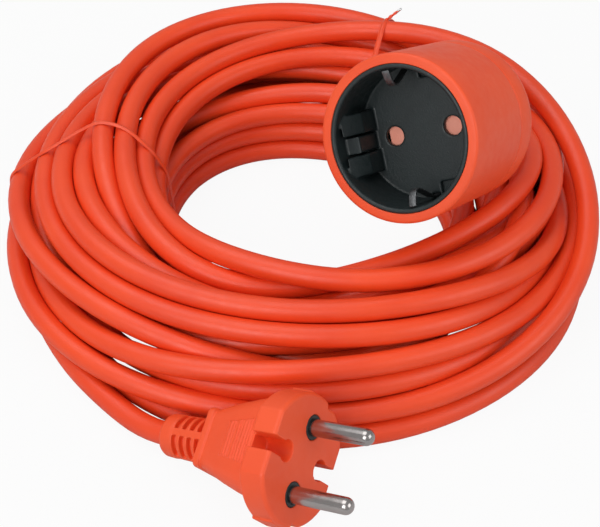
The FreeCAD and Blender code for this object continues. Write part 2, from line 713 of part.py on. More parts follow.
def standing_tail(outer, wide):
    """Tail and wire tip that stand on the top of the strip, near its outer edge."""
    top = max(z for r, z in outer)
    flat = [r for r, z in outer if z > top - 0.01]
    r = mix(min(flat), max(flat), TIE_TAIL_AT)
    lean = r + TIE_TAIL_LEAN
    foot = top - TIE_T / 2
    bend = top + TIE_TAIL_BEND
    end = top + TIE_TAIL
    tail = slab([(r, foot), (r + TIE_TAIL_ROOT * TIE_T, foot), (lean + TIE_T, bend), (lean + TIE_T, end),
                 (lean, end), (lean, bend)], "y", -wide, wide)
    return tail, Part.makeCylinder(TIE_WIRE_R, TIE_WIRE_OUT, V(lean + TIE_T / 2, 0, end), UP)


def lying_tail(outer):
    """Tail and wire tip that lie along the outside of the bundle, against the strip's own outer side."""
    wall = max(r for r, z in outer)
    long, wide = TIE_SIDE_TAIL
    z = TIE_SIDE_TAIL_Z
    tail = box(wall - TIE_T, wall, -TIE_W / 2 - long, 0, z - wide / 2, z + wide / 2)
    start = V(wall - TIE_T / 2, -TIE_W / 2 - long, z)
    return tail, Part.makeCylinder(TIE_WIRE_R, TIE_WIRE_OUT, start, V(0, -1, 0))


def tie(degrees, wires, stands):
    """The strip round all the loops with the folded tail of its ends, and the bare wire at the tail's tip."""
    found = crossings(degrees, wires)
    inner = tie_ring(found, CORD_R + TIE_GAP, TIE_FLOOR + TIE_T)
    outer = tie_ring(found, CORD_R + TIE_GAP + TIE_T, TIE_FLOOR)
    half = TIE_W / 2
    band = less(slab(outer, "y", -half, half), [slab(inner, "y", -half - OVER, half + OVER)])
    tail, wire = standing_tail(outer, half * TIE_TAIL_WIDTH) if stands else lying_tail(outer)
    strip_solid = joined([band, tail])
    for shape in (strip_solid, wire):
        shape.rotate(ORIGIN, UP, degrees)
    return strip_solid, wire


def build():
    plug_at = placement(PLUG_FACE, PLUG_AXIS, PLUG_PINS)
    socket_at = placement(SOCKET_FACE, SOCKET_AXIS, SOCKET_PINS)
    parts = {}
    for at, group in ((plug_at, plug_parts()), (socket_at, socket_parts())):
        for name, shape in group.items():
            shape.Placement = at.multiply(shape.Placement)
            parts[name] = shape
    first = plug_at.multVec(V(0, 0, -RELIEF_END - PLUG_LEAD_OUT))
    last = V(*SOCKET_ROUTE[-1])
    start_along = (coil_point(0) - first).normalize()
    end_along = (last - coil_point(coil_turns())).normalize()
    parts["cord_coil"], wire = cord_coil(start_along, end_along)
    start = coil_point(0) - start_along * CORD_D
    end = coil_point(coil_turns()) + end_along * CORD_D
    parts["cord_lead_plug"], plug_wire = lead("plug lead", [plug_at.multVec(V(0, 0, -JACKET_END)), first, start])
    route = [socket_at.multVec(V(0, 0, SHELL_JACKET_END)),
             socket_at.multVec(V(0, 0, SHELL_RELIEF_END + SOCKET_LEAD_OUT))]
    route += [V(*point) for point in SOCKET_ROUTE] + [end]
    parts["cord_lead_socket"], socket_wire = lead("socket lead", route)
    wires = [wire, socket_wire]
    parts["tie_left"], parts["tie_left_wire"] = tie(TIE_LEFT_DEG, wires, False)
    parts["tie_top"], parts["tie_top_wire"] = tie(TIE_TOP_DEG, wires, True)
    return parts


def centred(parts):
    """Moves the part so that the middle of its box stands over the origin, with the floor at Z 0."""
    boxes = [shape.optimalBoundingBox(False) for shape in parts.values()]
    low_x, high_x = min(b.XMin for b in boxes), max(b.XMax for b in boxes)
    low_y, high_y = min(b.YMin for b in boxes), max(b.YMax for b in boxes)
    low_z, high_z = min(b.ZMin for b in boxes), max(b.ZMax for b in boxes)
    shift = V(-(low_x + high_x) / 2, -(low_y + high_y) / 2, 0)
    print("box", round(high_x - low_x, 2), round(high_y - low_y, 2), round(high_z, 2), "lowest", round(low_z, 3))
    print("shift", round(shift.x, 3), round(shift.y, 3))
    for shape in parts.values():
        shape.translate(shift)
    return shift


def main():
    parts = build()
    centred(parts)
    for name, shape in sorted(parts.items()):
        print(name, "valid" if shape.isValid() else "NOT VALID", len(shape.Solids), "solid",
              "volume", round(shape.Volume, 1), "faces", len(shape.Faces))
        shape.exportStep("parts/" + name + ".step")


main()
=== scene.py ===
import bpy
import bmesh
import math
import numpy as np
from mathutils import Matrix, Vector


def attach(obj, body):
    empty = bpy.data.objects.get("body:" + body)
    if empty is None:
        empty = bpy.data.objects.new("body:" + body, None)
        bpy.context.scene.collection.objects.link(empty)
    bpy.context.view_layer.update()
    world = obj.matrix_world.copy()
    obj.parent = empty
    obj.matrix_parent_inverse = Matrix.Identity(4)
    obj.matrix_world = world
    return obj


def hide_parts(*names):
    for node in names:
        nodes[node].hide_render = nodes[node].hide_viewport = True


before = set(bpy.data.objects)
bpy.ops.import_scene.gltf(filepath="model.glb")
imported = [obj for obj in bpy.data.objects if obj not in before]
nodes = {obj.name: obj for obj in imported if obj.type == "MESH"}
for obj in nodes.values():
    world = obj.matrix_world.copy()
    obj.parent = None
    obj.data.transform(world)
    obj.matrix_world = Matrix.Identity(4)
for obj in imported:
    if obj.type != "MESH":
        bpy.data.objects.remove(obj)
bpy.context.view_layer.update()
body = "cord_set"
print("frame loaded,", len(nodes), "nodes")
bpy.context.scene.view_settings.view_transform = "Standard"

# The fittings and the loops are drawn in millimetres and set down in the frame's metres.
mm = 0.001
pileShift = Vector((1.419, 16.168, 0.0))

# Where each fitting lies: the middle of its face, the way out of the plug or into the socket, and the way
# from one pin or hole to the other.
plugSeat = {"face": (0.3, -109.0, 22.2), "axis": (0.819, -0.466, 0.331), "pins": (0.27, 0.852, 0.448)}
socketSeat = {"face": (26.8, -32.6, 71.3), "axis": (0.487, 0.759, -0.432), "pins": (0.847, -0.290, 0.445)}


def placeOf(seat):
    z = Vector(seat["axis"]).normalized()
    y = z.cross(Vector(seat["pins"])).normalized()
    x = y.cross(z)
    turn = Matrix((x, y, z)).transposed().to_4x4()
    return Matrix.Translation((Vector(seat["face"]) + pileShift) * mm) @ turn @ Matrix.Scale(mm, 4)


plugPlace = placeOf(plugSeat)
socketPlace = placeOf(socketSeat)

# Found by fitting the plug, the socket and the pile to the photo: place in metres, tilt and turn in degrees.
camera = {
    "at": (0.001419, -0.340632, 0.3341), "down": 43.87, "turn": 0.156,
    "lens": 88.02, "sensor": 36.0, "near": 0.02,
}


def makeCamera():
    data = bpy.data.cameras.new("camera")
    data.sensor_width = camera["sensor"]
    data.lens = camera["lens"]
    data.clip_start = camera["near"]
    holder = bpy.data.objects.new("camera", data)
    holder.location = camera["at"]
    holder.rotation_euler = (math.radians(90.0 - camera["down"]), 0.0, math.radians(camera["turn"]))
    bpy.context.scene.collection.objects.link(holder)
    bpy.context.scene.camera = holder


makeCamera()
print("camera set")


def newMaterial(name):
    material = bpy.data.materials.new(name)
    material.use_nodes = True
    tree = material.node_tree
    return material, tree, tree.nodes["Principled BSDF"]


def noiseNode(tree, scale, detail):
    place = tree.nodes.new("ShaderNodeTexCoord")
    noise = tree.nodes.new("ShaderNodeTexNoise")
    noise.inputs["Scale"].default_value = scale
    noise.inputs["Detail"].default_value = detail
    tree.links.new(place.outputs["Object"], noise.inputs["Vector"])
    return noise


def rampNode(tree, source, low, high, start=0.3, end=0.7):
    ramp = tree.nodes.new("ShaderNodeMapRange")
    ramp.inputs["From Min"].default_value = start
    ramp.inputs["From Max"].default_value = end
    ramp.inputs["To Min"].default_value = low
    ramp.inputs["To Max"].default_value = high
    tree.links.new(source, ramp.inputs["Value"])
    return ramp.outputs["Result"]


def colourMix(tree, factor, first, second):
    mix = tree.nodes.new("ShaderNodeMix")
    mix.data_type = "RGBA"
    tree.links.new(factor, mix.inputs["Factor"])
    for inlet, colour in ((6, first), (7, second)):
        if isinstance(colour, tuple):
            mix.inputs[inlet].default_value = (*colour, 1.0)
        else:
            tree.links.new(colour, mix.inputs[inlet])
    return mix.outputs[2]


def addGrain(tree, shader, look, fine):
    bump = tree.nodes.new("ShaderNodeBump")
    bump.inputs["Strength"].default_value = look["strength"]
    bump.inputs["Distance"].default_value = look["depth"]
    tree.links.new(fine.outputs["Fac"], bump.inputs["Height"])
    tree.links.new(bump.outputs["Normal"], shader.inputs["Normal"])


def patchColour(tree, look):
    patch = noiseNode(tree, look["patch"], 3.0)
    factor = rampNode(tree, patch.outputs["Fac"], 0.0, 1.0)
    return colourMix(tree, factor, look["colour"], look["shade"])


def plasticFinish(name, look):
    material, tree, shader = newMaterial(name)
    fine = noiseNode(tree, look["grain"], 2.0)
    speck = rampNode(tree, fine.outputs["Fac"], 0.0, look.get("speck", 0.12), 0.45, 0.8)
    colour = colourMix(tree, speck, patchColour(tree, look), look["shade"])
    tree.links.new(colour, shader.inputs["Base Color"])
    rough = noiseNode(tree, look["patch"] * 6, 2.0)
    tree.links.new(rampNode(tree, rough.outputs["Fac"], *look["rough"]), shader.inputs["Roughness"])
    addGrain(tree, shader, look, fine)
    return material


def metalFinish(name, look):
    material, tree, shader = newMaterial(name)
    shader.inputs["Metallic"].default_value = 1.0
    tree.links.new(patchColour(tree, look), shader.inputs["Base Color"])
    fine = noiseNode(tree, look["grain"], 4.0)
    tree.links.new(rampNode(tree, fine.outputs["Fac"], *look["rough"]), shader.inputs["Roughness"])
    addGrain(tree, shader, look, fine)
    return material


# Colour and shade mix in patches and roughness runs between two values. Patch and grain are counts in a
# metre, depth is in metres, and speck is how much of the shade shows as grains.
finishes = {
    "cordJacket": {"colour": (0.86, 0.072, 0.014), "shade": (0.79, 0.056, 0.011), "patch": 45.0,
                   "rough": (0.36, 0.48), "grain": 1500.0, "depth": 0.00006, "strength": 0.35},
    "moulding": {"colour": (0.88, 0.090, 0.020), "shade": (0.82, 0.076, 0.017), "patch": 60.0,
                 "rough": (0.42, 0.55), "grain": 2200.0, "depth": 0.00005, "strength": 0.4},
    "blackPlastic": {"colour": (0.013, 0.022, 0.023), "shade": (0.008, 0.013, 0.014), "patch": 90.0,
                     "rough": (0.36, 0.55), "grain": 1800.0, "depth": 0.00008, "strength": 0.6, "speck": 0.5},
    # The shutter's colour is its salmon plastic painted lighter, to offset the shade that falls on it deep in the
    # holes.
    "shutterPlasticPaintedLight": {"colour": (1.0, 0.40, 0.29), "shade": (0.95, 0.34, 0.24), "patch": 200.0,
                       "rough": (0.45, 0.6), "grain": 2000.0, "depth": 0.00006, "strength": 0.5},
    "tiePlastic": {"colour": (0.85, 0.078, 0.018), "shade": (0.74, 0.058, 0.014), "patch": 150.0,
                   "rough": (0.3, 0.42), "grain": 1200.0, "depth": 0.00006, "strength": 0.4},
    "brownCore": {"colour": (0.12, 0.045, 0.02), "shade": (0.08, 0.03, 0.014), "patch": 200.0,
                  "rough": (0.4, 0.5), "grain": 1500.0, "depth": 0.00004, "strength": 0.3},
    "blueCore": {"colour": (0.03, 0.11, 0.42), "shade": (0.022, 0.08, 0.33), "patch": 200.0,
                 "rough": (0.4, 0.5), "grain": 1500.0, "depth": 0.00004, "strength": 0.3},
}
metals = {
    "platedPin": {"colour": (0.46, 0.43, 0.42), "shade": (0.40, 0.375, 0.365), "patch": 120.0,
                  "rough": (0.2, 0.26), "grain": 600.0, "depth": 0.000004, "strength": 0.15},
    "brassMetal": {"colour": (0.72, 0.50, 0.20), "shade": (0.58, 0.38, 0.14), "patch": 250.0,
                   "rough": (0.22, 0.4), "grain": 1200.0, "depth": 0.00003, "strength": 0.3},
    "greyMetal": {"colour": (0.20, 0.205, 0.21), "shade": (0.10, 0.104, 0.108), "patch": 900.0,
                  "rough": (0.38, 0.6), "grain": 2600.0, "depth": 0.0001, "strength": 0.7},
    "springSteel": {"colour": (0.55, 0.56, 0.58), "shade": (0.42, 0.43, 0.45), "patch": 300.0,
                    "rough": (0.2, 0.35), "grain": 1500.0, "depth": 0.00003, "strength": 0.3},
    "tieWire": {"colour": (0.70, 0.70, 0.70), "shade": (0.52, 0.52, 0.53), "patch": 500.0,
                "rough": (0.2, 0.35), "grain": 2000.0, "depth": 0.00003, "strength": 0.3},
}
materials = {name: plasticFinish(name, look) for name, look in finishes.items()}
materials.update({name: metalFinish(name, look) for name, look in metals.items()})
print("materials made")


def newObject(name, bm):
    bmesh.ops.recalc_face_normals(bm, faces=bm.faces)
    mesh = bpy.data.meshes.new(name)
    bm.to_mesh(mesh)
    bm.free()
    made = bpy.data.objects.new(name, mesh)
    bpy.context.scene.collection.objects.link(made)
    return made


def circle(r, steps, x=0.0, y=0.0):
    return [(x + r * math.cos(2 * math.pi * i / steps), y + r * math.sin(2 * math.pi * i / steps))
            for i in range(steps)]


# Turned about a line along Z at x. An open profile starts and ends on that line, a ring's closes on itself.
def addTurned(bm, profile, steps, ring=False, x=0.0):
    rows = []
    for r, z in profile:
        if r < 1e-6:
            rows.append([bm.verts.new((x, 0, z))])
        else:
            rows.append([bm.verts.new((px, py, z)) for px, py in circle(r, steps, x)])
    pairs = list(zip(rows, rows[1:])) + ([(rows[-1], rows[0])] if ring else [])
    for low, high in pairs:
        for i in range(steps):
            j = (i + 1) % steps
            face = [low[i % len(low)], low[j % len(low)], high[j % len(high)], high[i % len(high)]]
            face = [v for k, v in enumerate(face) if v not in face[:k]]
            if len(face) > 2:
                bm.faces.new(face)


# Rings of points of one length, joined in turn. They close at both ends, or the last meets the first.
def addLoft(bm, rings, endless=False):
    rows = [[bm.verts.new(p) for p in ring] for ring in rings]
    for low, high in zip(rows, rows[1:] + (rows[:1] if endless else [])):
        for i in range(len(low)):
            j = (i + 1) % len(low)
            bm.faces.new((low[i], low[j], high[j], high[i]))
    if not endless:
        bm.faces.new(rows[0][::-1])
        bm.faces.new(rows[-1])


def addPrism(bm, outline, low, high):
    addLoft(bm, [[(x, y, low) for x, y in outline], [(x, y, high) for x, y in outline]])


def addBlock(bm, x0, x1, y0, y1, z0, z1):
    x0, x1 = sorted((x0, x1))
    y0, y1 = sorted((y0, y1))
    addPrism(bm, [(x0, y0), (x1, y0), (x1, y1), (x0, y1)], z0, z1)


def addRod(bm, r, z0, z1, x=0.0, y=0.0, steps=64):
    addPrism(bm, circle(r, steps, x, y), z0, z1)


def bake(obj):
    bpy.context.view_layer.update()
    graph = bpy.context.evaluated_depsgraph_get()
    mesh = bpy.data.meshes.new_from_object(obj.evaluated_get(graph))
    old = obj.data
    obj.modifiers.clear()
    obj.data = mesh
    bpy.data.meshes.remove(old)


def cutAway(obj, bm):
    tool = newObject(obj.name + "Tool", bm)
    cut = obj.modifiers.new("cut", "BOOLEAN")
    cut.operation = "DIFFERENCE"
    cut.solver = "EXACT"
    cut.use_self = True
    cut.object = tool
    bake(obj)
    bpy.data.objects.remove(tool)


# Joins the overlapping blocks of a moulding into one skin and rounds its edges.
def soften(obj, voxel, passes):
    remesh = obj.modifiers.new("skin", "REMESH")
    remesh.mode = "VOXEL"
    remesh.voxel_size = voxel
    smooth = obj.modifiers.new("round", "SMOOTH")
    smooth.factor = 0.5
    smooth.iterations = passes
    bake(obj)


def setDown(obj, place, material, slotName, *nodeNames):
    obj.data.transform(place)
    obj.data.materials.clear()
    obj.data.materials.append(materials[material])
    for face in obj.data.polygons:
        face.use_smooth = True
    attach(obj, body)
    if nodeNames:
        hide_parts(*nodeNames)


# Edges stay sharp where the surface turns by more than these degrees.
def crisp(obj, degrees=35.0):
    bm = bmesh.new()
    bm.from_mesh(obj.data)
    for edge in bm.edges:
        edge.smooth = len(edge.link_faces) == 2 and edge.calc_face_angle(0.0) < math.radians(degrees)
    bm.to_mesh(obj.data)
    bm.free()


cordLook = {
    "thickness": 7.0, "length": 8.1,  # millimetres and metres
    "startDegrees": -140.0, "pointsPerTurn": 24,  # where the first loop starts
    "heldEnds": (3, 7),  # control points that don't settle, at the plug and at the socket
    "smooth": (5, 5),  # steps along the curve and round it
}

# How the strands settle, in millimetres.
settling = {
    "samples": 3, "rounds": 260,  # samples from one control point to the next
    "room": 0.03, "reach": 2.5,  # between two strands, and how much further off others are looked for
    "alone": 8,  # control points along the cord that don't push each other
    "crowd": 0.6, "stride": 1.3,  # the share of its touches that divides a push, and how far a push carries
    "hold": 0.035, "lateFrom": 0.8, "lateHold": 0.25,  # pull to the drawn place, weaker in the last rounds
    "sink": 0.02, "bending": 0.16, "clear": 0.4,  # fall in a round, stiffness, room round a fitting
}

# The round bodies that the strands keep clear of: face, way, start from the face, length and radius.
plugWay = (0.8200, -0.4666, 0.3314)
rods = (
    (socketSeat["face"], socketSeat["axis"], 0.0, 49.0, 24.5),
    (plugSeat["face"], plugWay, -16.0, 16.0, 18.9),
    (plugSeat["face"], plugWay, -30.0, 14.0, 12.5),
)

# Each loop in the order it is wound: angle, then distance out and height at that place. The left is
# at 180, the back at 90, the right at 0 and the front at -90 degrees, and what is above 180 leads in.
loops = [
    {220: (91.0, 3.5), 205: (89.6, 3.5), 180: (89.6, 3.5), 90: (90.3, 10.6), 0: (85.5, 11.0), -45: (72.0, 25.0),
     -66: (69.6, 28.0), -90: (67.3, 28.3), -106: (67.5, 28.0), -122: (68.5, 28.0), -138: (73.1, 28.0),
     -151: (77.3, 28.0), -165: (81.4, 28.0)},
    {180: (84.3, 28.0), 165: (86.5, 27.0), 135: (86.5, 26.0), 90: (80.0, 24.5), 65: (79.5, 18.8),
     40: (77.0, 19.5), 0: (76.0, 24.4), -45: (57.5, 24.0), -90: (50.0, 20.0)},
    {180: (47.5, 24.4), 161: (50.0, 28.0), 124: (58.6, 29.5), 90: (63.9, 29.5), 0: (75.0, 31.0),
     -20: (61.0, 30.5), -36: (50.8, 29.5), -50: (46.5, 29.0), -64: (45.0, 28.0), -77: (46.0, 27.3),
     -90: (48.5, 26.8), -104: (51.0, 28.5), -117: (53.3, 31.5), -132: (55.0, 33.0), -146: (56.0, 33.0)},
    {180: (56.2, 33.5), 164: (60.5, 35.0), 150: (64.5, 36.5), 135: (70.0, 37.5), 120: (75.5, 36.0),
     90: (81.5, 33.4), 76: (82.5, 28.5), 65: (83.0, 24.5), 50: (83.5, 25.0), 30: (84.0, 27.0), 0: (84.3, 30.6),
     -46: (64.9, 33.5), -56: (60.0, 33.5), -79: (52.2, 33.2), -90: (50.3, 33.2), -106: (48.6, 33.2),
     -130: (48.4, 32.8)},
    {180: (50.2, 30.5), 161: (54.5, 33.0), 120: (65.0, 33.5), 90: (71.3, 33.0), 72: (72.3, 35.0),
     58: (76.5, 36.5), 48: (80.0, 36.0), 33: (84.5, 34.0), 18: (88.0, 30.5), 0: (89.9, 26.0), -24: (89.6, 19.5),
     -34: (88.5, 16.5), -44: (85.5, 13.5), -59: (83.1, 11.3), -90: (83.0, 10.4), -124: (86.7, 9.6),
     -136: (90.0, 9.6), -152: (91.3, 9.6), -168: (92.0, 9.6)},
    {180: (92.3, 9.6), 90: (90.3, 3.5), 0: (87.6, 3.6), -10: (89.0, 3.6), -19: (91.0, 3.6), -26: (92.4, 3.6),
     -32: (92.8, 3.6), -38: (91.8, 3.6), -44: (89.4, 3.6), -57: (86.9, 3.6), -90: (85.5, 3.6),
     -108: (88.0, 3.5), -122: (94.0, 3.5), -135: (92.0, 3.5), -150: (86.0, 3.5)},
    {180: (78.5, 3.5), 148: (82.0, 3.5), 130: (82.5, 3.5), 113: (83.0, 4.5), 90: (78.5, 3.5), 18: (90.0, 13.5),
     0: (90.0, 12.5), -17: (84.2, 16.0), -44: (78.8, 21.0), -60: (76.6, 22.3), -90: (75.8, 22.3),
     -112: (78.6, 19.0), -125: (82.6, 17.0), -135: (86.2, 15.0), -145: (88.2, 13.0)},
    {180: (88.6, 10.0), 90: (82.0, 11.0), 0: (77.5, 5.0), -90: (70.5, 16.5), -120: (70.5, 19.5),
     -130: (74.2, 23.0), -141: (78.1, 24.0), -153: (83.0, 24.0), -164: (88.7, 23.5), -172: (91.6, 22.5)},
    {180: (93.2, 20.5), 165: (93.2, 18.0), 150: (92.5, 17.5), 90: (91.0, 17.7), 0: (83.0, 18.0),
     -45: (68.0, 29.5), -66: (65.0, 31.5), -90: (61.2, 31.2), -113: (61.8, 31.0), -131: (64.1, 31.0),
     -146: (69.6, 31.0), -158: (73.7, 31.5)},
    {180: (78.1, 31.4), 165: (79.3, 30.5), 150: (80.0, 29.0), 135: (79.5, 27.5), 90: (75.3, 26.3),
     0: (64.2, 26.8), -90: (57.0, 18.3)},
    {180: (46.8, 17.4), 150: (50.0, 17.0), 120: (51.0, 17.0), 90: (48.5, 17.0), 0: (53.5, 20.0),
     -45: (51.5, 15.5), -90: (49.0, 13.4)},
    {180: (46.6, 10.4), 150: (50.5, 10.4), 120: (50.5, 10.4), 90: (47.0, 10.4), 75: (45.5, 10.4),
     0: (54.0, 13.0), -45: (52.0, 9.0), -90: (49.5, 6.5)},
    {180: (47.0, 3.5), 150: (50.5, 3.5), 130: (50.2, 3.5), 108: (50.0, 3.5), 92: (46.5, 3.5), 75: (44.0, 3.5),
     30: (51.0, 4.5), 0: (54.5, 5.5), -90: (53.5, 3.6)},
    {180: (52.5, 3.5), 120: (55.5, 3.5), 90: (51.5, 3.5), 0: (54.5, 3.6), -90: (55.0, 3.6)},
    {180: (62.0, 3.5), 150: (64.5, 3.5), 127: (69.0, 3.5), 105: (66.5, 3.5), 90: (64.0, 3.5), 0: (83.0, 5.0),
     -45: (81.5, 12.5), -90: (79.6, 16.7), -118: (84.5, 9.5), -135: (83.5, 8.0), -150: (80.0, 10.0)},
    {180: (72.0, 14.0), 150: (64.0, 14.0), 120: (58.0, 19.0), 90: (52.0, 22.5), 0: (61.0, 21.5),
     -90: (65.0, 21.0), -119: (72.0, 17.2), -130: (75.7, 17.0), -140: (79.6, 16.8), -146: (82.0, 16.6),
     -154: (86.4, 16.6), -168: (88.2, 16.8)},
    {180: (89.3, 18.0), 170: (90.0, 20.5), 150: (91.5, 23.6), 90: (90.6, 24.9), 8: (86.5, 26.0),
     0: (85.5, 25.2), -45: (64.0, 24.0), -90: (57.5, 25.2), -120: (58.0, 26.5), -140: (62.5, 30.5)},
    {180: (71.0, 33.4), 164: (72.0, 32.5), 150: (72.5, 30.5), 135: (71.0, 28.0), 90: (67.5, 22.9),
     0: (70.0, 30.2), -90: (64.0, 14.0), -120: (57.0, 20.0), -140: (57.0, 27.0)},
    {180: (63.8, 34.0), 164: (67.3, 35.5), 150: (73.0, 38.0), 138: (80.0, 38.5), 126: (86.0, 37.0),
     112: (90.6, 33.5), 90: (90.3, 31.5), 76: (87.0, 29.8), 66: (84.0, 29.4), 58: (81.0, 29.8),
     50: (79.5, 30.5)},
]

# The two ends outside the loops, in the frame's metres, from the plug's relief and to the socket's.
plugLead = [(-0.036365, -0.071163, 0.006808), (-0.043736, -0.066969, 0.003829), (-0.0566, -0.0550, 0.0036)]
socketLead = [(0.0547, 0.0749, 0.0310), (0.0606, 0.0682, 0.0324), (0.0644, 0.0602, 0.0342),
              (0.0657, 0.0514, 0.0366), (0.0645, 0.0425, 0.0392), (0.060848, 0.034421, 0.042356),
              (0.056465, 0.027590, 0.046244)]


# The table as rows of angle wound, distance out and height.
def placesAlong():
    rows = []
    for count, loop in enumerate(loops):
        for degrees in sorted(loop, reverse=True):
            rows.append((180.0 - degrees + 360.0 * count, *loop[degrees]))
    return np.array(rows)


# A smooth course through the rows: a cubic from each to the next, with slopes from the rows round it.
def woundPoints():
    rows = placesAlong()
    step = 360.0 / cordLook["pointsPerTurn"]
    points = []
    for wound in np.arange(180.0 - cordLook["startDegrees"] - 360.0, rows[-1, 0] + 0.01, step):
        here = min(max(int(np.searchsorted(rows[:, 0], wound)), 1), len(rows) - 1)
        back = here - 1
        before, after = max(back - 1, 0), min(here + 1, len(rows) - 1)
        span = rows[here, 0] - rows[back, 0]
        t = max((wound - rows[back, 0]) / span, 0.0)
        slopeIn = (rows[here, 1:] - rows[before, 1:]) / (rows[here, 0] - rows[before, 0])
        slopeOut = (rows[after, 1:] - rows[back, 1:]) / (rows[after, 0] - rows[back, 0])
        away, height = ((2 * t ** 3 - 3 * t ** 2 + 1) * rows[back, 1:] + (t ** 3 - 2 * t ** 2 + t) * span * slopeIn
                        + (3 * t ** 2 - 2 * t ** 3) * rows[here, 1:] + (t ** 3 - t ** 2) * span * slopeOut)
        angle = math.radians(180.0 - wound)
        points.append((away * math.cos(angle), away * math.sin(angle), max(height, cordLook["thickness"] / 2)))
    return np.array(points)


# Each row gives one point of the curve from three neighbouring control points.
def splineWeights(count, fine):
    rows = []
    for i in range(1, count - 1):
        for j in range(fine):
            t = j / fine
            row = np.zeros(count)
            row[i - 1], row[i], row[i + 1] = (1 - t) ** 2 / 2, 0.5 + t - t * t, t * t / 2
            rows.append(row)
    return np.array(rows)


# Pushes out the points that lie inside a round body.
def outOfRod(points, face, axis, start, length, radius, half):
    axis = np.array(axis)
    rel = points - (np.array(face) + axis * start)
    along = rel @ axis
    radial = rel - along[:, None] * axis
    far = np.linalg.norm(radial, axis=1)
    inside = (along > -half) & (along < length + half) & (far < radius)
    return radial / np.maximum(far, 1e-6)[:, None] * np.where(inside, radius - far, 0.0)[:, None]


# The distance from each first sample to the strand at the second one, and the way between them.
def gapsBetween(line, one, two):
    best = np.full(len(one), 1e9)
    apart = np.zeros((len(one), 3))
    for shift in (1, -1):
        start = line[two]
        run = line[np.clip(two + shift, 0, len(line) - 1)] - start
        t = np.clip(((line[one] - start) * run).sum(1) / np.maximum((run * run).sum(1), 1e-9), 0, 0.5)
        gap = line[one] - start - t[:, None] * run
        size = np.linalg.norm(gap, axis=1)
        better = size < best
        best = np.where(better, size, best)
        apart = np.where(better[:, None], gap, apart)
    return best, apart


# Lets the strands push each other and the two fittings away, bend stiffly and sink a little.
def settleLoops(control, held):
    weights = splineWeights(len(control), settling["samples"])
    share = weights.sum(0)
    home = control.copy()
    free = np.ones(len(control), bool)
    free[held] = False
    wide = cordLook["thickness"] + settling["room"]
    half = cordLook["thickness"] / 2
    order = np.arange(len(weights))
    far = np.abs(order[:, None] - order[None, :]) > settling["alone"] * settling["samples"]
    for step in range(settling["rounds"]):
        line = weights @ control
        move = np.zeros_like(line)
        hits = np.zeros(len(line))
        square = (line ** 2).sum(1)
        reach = (wide + settling["reach"]) ** 2
        one, two = np.nonzero((square[:, None] + square[None, :] - 2 * line @ line.T < reach) & far)
        best, apart = gapsBetween(line, one, two)
        over = np.maximum(wide - best, 0.0)
        push = apart / np.maximum(best, 1e-6)[:, None] * (0.5 * over)[:, None]
        hit = over > 0
        for ends, way in ((one, 1), (two, -1)):
            np.add.at(move, ends[hit], way * push[hit])
            np.add.at(hits, ends[hit], 1)
        move /= np.maximum(hits * settling["crowd"], 1)[:, None]
        move[:, 2] += np.maximum(half - line[:, 2], 0.0)
        for face, axis, start, length, radius in rods:
            move += outOfRod(line, face, axis, start, length, radius + half + settling["clear"], half)
        late = step > settling["lateFrom"] * settling["rounds"]
        change = (weights.T @ move) / share[:, None] * settling["stride"]
        change += (home - control) * settling["hold"] * (settling["lateHold"] if late else 1.0)
        if not late:
            change[:, 2] -= settling["sink"]
        control[free] += change[free]
        lean = np.zeros_like(control)
        lean[1:-1] = (control[:-2] + control[2:]) / 2 - control[1:-1]
        bend = np.zeros_like(control)
        bend[2:-2] = lean[2:-2] - (lean[1:-3] + lean[3:-1]) / 2
        control[free] += settling["bending"] * bend[free]
    control[:, 2] = np.maximum(control[:, 2], half)
    print("loops settled, most overlap", round(float(over.max()), 2), "mm")
    return control


def makeCord():
    wound = woundPoints()
    sharp = wound.copy()  # moved out, because the curve cuts inside its control points
    sharp[1:-1] -= (wound[:-2] - 2 * wound[1:-1] + wound[2:]) / 8
    shift = np.array(pileShift)
    control = np.vstack([np.array(plugLead) / mm - shift, sharp, np.array(socketLead) / mm - shift])
    count = len(control)
    first, last = cordLook["heldEnds"]
    control = settleLoops(control, list(range(first)) + list(range(count - last, count)))
    data = bpy.data.curves.new("cord", "CURVE")
    data.dimensions = "3D"
    spline = data.splines.new("NURBS")
    spline.points.add(count - 1)
    for point, place in zip(spline.points, control):
        point.co = (*((place + shift) * mm), 1.0)
    spline.order_u = 3
    spline.use_endpoint_u = True
    spline.resolution_u, data.bevel_resolution = cordLook["smooth"]
    cord = bpy.data.objects.new("cord", data)
    bpy.context.scene.collection.objects.link(cord)
    bpy.context.view_layer.update()
    mesh = bpy.data.meshes.new_from_object(cord.evaluated_get(bpy.context.evaluated_depsgraph_get()))
    line = [v.co.copy() for v in mesh.vertices]
    bpy.data.meshes.remove(mesh)
    data.bevel_depth = cordLook["thickness"] * mm / 2
    data.use_fill_caps = True
    data.materials.append(materials["cordJacket"])
    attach(cord, body)
    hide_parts("cord_coil", "cord_lead_plug", "cord_lead_socket")
    print("cord", round(sum((b - a).length for a, b in zip(line, line[1:])), 3), "m")
    return cord, line


cordObject, cordLine = makeCord()


# The floor shows as white by this share and takes a shadow by the rest. A lamp has a place, a size and a power.
studio = {
    "floorSize": 6.0, "floorColour": (0.60, 0.60, 0.60), "floorRough": 0.9, "floorShine": 0.1, "floorShare": 0.93,
    "world": 0.40,
    "lamps": {"overhead": ((-0.30, 0.15, 0.95), 0.8, 4.0), "front": ((-0.40, -0.75, 0.60), 0.6, 4.2),
              "right": ((0.80, -0.40, 0.50), 0.6, 2.4)},
}


def mixShaders(tree, factor, first, second, target):
    mix = tree.nodes.new("ShaderNodeMixShader")
    tree.links.new(factor, mix.inputs[0])
    tree.links.new(first.outputs[0], mix.inputs[1])
    tree.links.new(second.outputs[0], mix.inputs[2])
    tree.links.new(mix.outputs[0], tree.nodes[target].inputs["Surface"])


